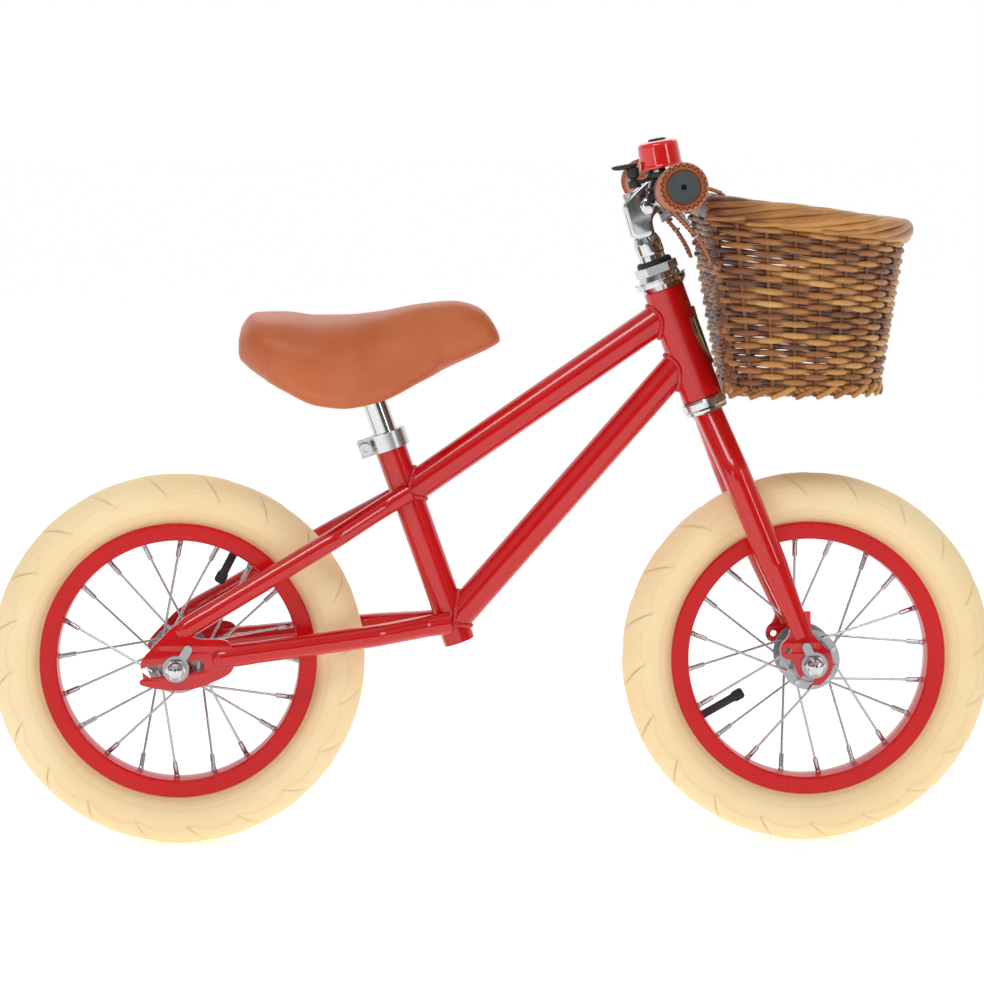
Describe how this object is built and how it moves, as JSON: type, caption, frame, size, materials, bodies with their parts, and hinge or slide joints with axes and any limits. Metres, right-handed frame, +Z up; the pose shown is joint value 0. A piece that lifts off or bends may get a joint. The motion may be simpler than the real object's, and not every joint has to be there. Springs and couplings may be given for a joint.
{
  "type": "balance bike",
  "caption": "Child's balance bike with a twin-tube steel frame, spoked wheels, cream tyres, wicker handlebar basket and bell.",
  "frame": {"origin": "on the ground under the middle of the wheelbase, at the centre of the bounding box's bottom", "axes": "+Z up, +X forward along the bike's length, +Y to its left"},
  "size_m": [0.808, 0.3814, 0.5683],
  "materials": {
    "frame_paint": "glossy red enamel on steel tube",
    "rim_paint": "glossy red enamel on pressed steel rim",
    "bell_red": "bright red enamel on pressed steel",
    "chrome": "polished chrome plate",
    "steel": "zinc-plated steel",
    "silver_alloy": "satin silver aluminium",
    "tyre_cream": "cream rubber",
    "black_rubber": "black rubber",
    "black_plastic": "satin black plastic",
    "saddle_tan": "smooth tan moulded cover",
    "leather_brown": "brown stitched leather",
    "wicker": "woven brown willow",
    "badge_bronze": "dark bronze plate",
    "grease_steel": "ground bearing steel"
  },
  "bodies": {
    "frame": {"head_tube": "frame_paint", "top_tube": "frame_paint", "down_tube": "frame_paint", "seat_tube": "frame_paint", "seat_stays": "frame_paint", "chain_stays": "frame_paint", "rear_dropouts": "frame_paint", "headset_cups": "chrome", "head_badge": "badge_bronze", "seat_clamp": "silver_alloy", "seat_clamp_bolt": "steel", "rear_axle": "steel", "rear_cones": "steel", "rear_washers": "steel", "rear_axle_nuts": "chrome"},
    "fork": {"fork_steerer": "steel", "fork_legs": "frame_paint", "fork_dropouts": "frame_paint", "headset_bearings": "grease_steel", "headset_races": "chrome", "headset_washer": "steel", "headset_locknut": "silver_alloy", "headset_seal": "black_rubber", "front_axle": "steel", "front_cones": "steel", "front_washers": "steel", "front_axle_nuts": "chrome"},
    "stem": {"stem": "chrome", "stem_wedge": "steel", "stem_bolts": "steel"},
    "handlebar": {"handlebar": "chrome", "grips": "leather_brown", "grip_plugs": "black_plastic", "bell_base": "black_plastic", "bell_dome": "bell_red", "bell_screws": "steel", "bell_spring": "steel"},
    "bell_lever": {"bell_lever": "black_plastic"},
    "basket": {"basket": "wicker", "basket_rim": "wicker", "basket_straps": "leather_brown", "strap_buckles": "steel"},
    "front_wheel": {"front_tyre": "tyre_cream", "front_inner_tube": "black_rubber", "front_rim": "rim_paint", "front_spokes": "steel", "front_hub": "steel", "front_bearings": "grease_steel"},
    "rear_wheel": {"rear_tyre": "tyre_cream", "rear_inner_tube": "black_rubber", "rear_rim": "rim_paint", "rear_spokes": "steel", "rear_hub": "steel", "rear_bearings": "grease_steel"},
    "seatpost": {"seatpost": "chrome", "saddle_clamp": "steel"},
    "saddle": {"saddle_cheeks": "steel", "saddle_rails": "steel", "saddle_base": "black_plastic", "saddle_cover": "saddle_tan"}
  },
  "joints": [
    {"name": "steering", "type": "hinge", "parent": "frame", "child": "fork", "pos_m": [0.1522, 0, 0.4036], "axis": [-0.342, 0, 0.9397], "range_deg": [-75, 75]},
    {"name": "front_wheel_spin", "type": "hinge", "parent": "fork", "child": "front_wheel", "pos_m": [0.254, 0, 0.15], "axis": [0, 1, 0], "continuous": true},
    {"name": "rear_wheel_spin", "type": "hinge", "parent": "frame", "child": "rear_wheel", "pos_m": [-0.254, 0, 0.15], "axis": [0, 1, 0], "continuous": true},
    {"name": "stem_height", "type": "slide", "parent": "fork", "child": "stem", "axis": [-0.342, 0, 0.9397], "range_m": [0, 0.02]},
    {"name": "handlebar_pitch", "type": "hinge", "parent": "stem", "child": "handlebar", "pos_m": [0.137, 0, 0.528], "axis": [0, 1, 0], "range_deg": [-15, 15]},
    {"name": "bell_lever", "type": "hinge", "parent": "handlebar", "child": "bell_lever", "pos_m": [0.11985, -0.059, 0.54426], "axis": [0.1822, 0, -0.9833], "range_deg": [0, 18], "stiffness_Nm_per_rad": 0.06, "springref_deg": -20.05, "deforming": ["bell_spring"]},
    {"name": "basket_swing", "type": "hinge", "parent": "stem", "child": "basket", "pos_m": [0.137, 0, 0.528], "axis": [0, -1, 0], "range_deg": [0, 25]},
    {"name": "seat_height", "type": "slide", "parent": "frame", "child": "seatpost", "axis": [-0.3338, 0, 0.9426], "range_m": [0, 0.05]},
    {"name": "saddle_tilt", "type": "hinge", "parent": "seatpost", "child": "saddle", "pos_m": [-0.1086, 0, 0.389], "axis": [0, 1, 0], "range_deg": [-10, 10]}
  ]
}
